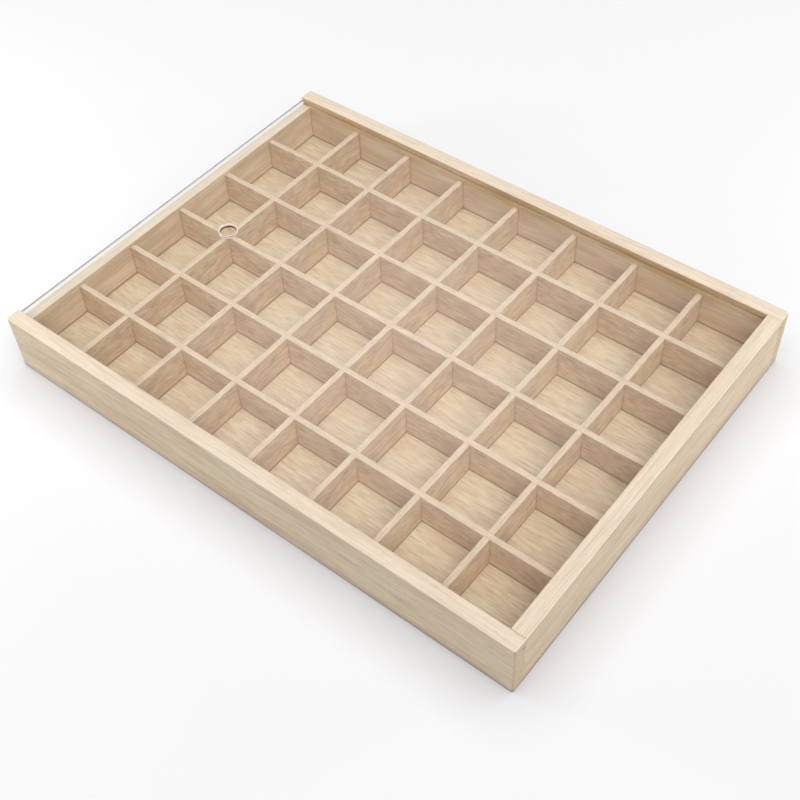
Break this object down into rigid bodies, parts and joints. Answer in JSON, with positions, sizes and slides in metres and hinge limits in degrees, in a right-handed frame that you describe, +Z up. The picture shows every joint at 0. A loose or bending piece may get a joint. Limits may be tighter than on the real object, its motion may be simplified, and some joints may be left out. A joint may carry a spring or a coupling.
{
  "type": "collection case",
  "caption": "Shallow wooden case with a grid of square compartments under a clear lid that slides out at one end by a finger hole.",
  "frame": {"origin": "under the middle of the shut case, on the surface it stands on", "axes": "+X along the case to the closed end, -X to the open end that the lid leaves by, -Y to the front side board, +Z up"},
  "size_m": [0.402, 0.3, 0.045],
  "materials": {
    "case_board_wood": "planed and sanded, bare, fine straight grain",
    "panel_wood": "thin panel, bare, grain along the case",
    "divider_wood": "thin strips, sanded, bare",
    "clear_acrylic": "clear polished faces, matt sawn edges"
  },
  "bodies": {
    "case": {"front_side_board": "case_board_wood", "back_side_board": "case_board_wood", "closed_end_board": "case_board_wood", "open_end_board": "case_board_wood", "front_groove_plug": "case_board_wood", "back_groove_plug": "case_board_wood", "bottom_panel": "panel_wood", "cross_divider_1": "divider_wood", "cross_divider_2": "divider_wood", "cross_divider_3": "divider_wood", "cross_divider_4": "divider_wood", "cross_divider_5": "divider_wood", "cross_divider_6": "divider_wood", "cross_divider_7": "divider_wood", "long_divider_1": "divider_wood", "long_divider_2": "divider_wood", "long_divider_3": "divider_wood", "long_divider_4": "divider_wood", "long_divider_5": "divider_wood"},
    "lid": {"sliding_lid": "clear_acrylic"}
  },
  "joints": [
    {"name": "lid_slide", "type": "slide", "parent": "case", "child": "lid", "axis": [-1, 0, 0], "range_m": [0, 0.4]}
  ]
}
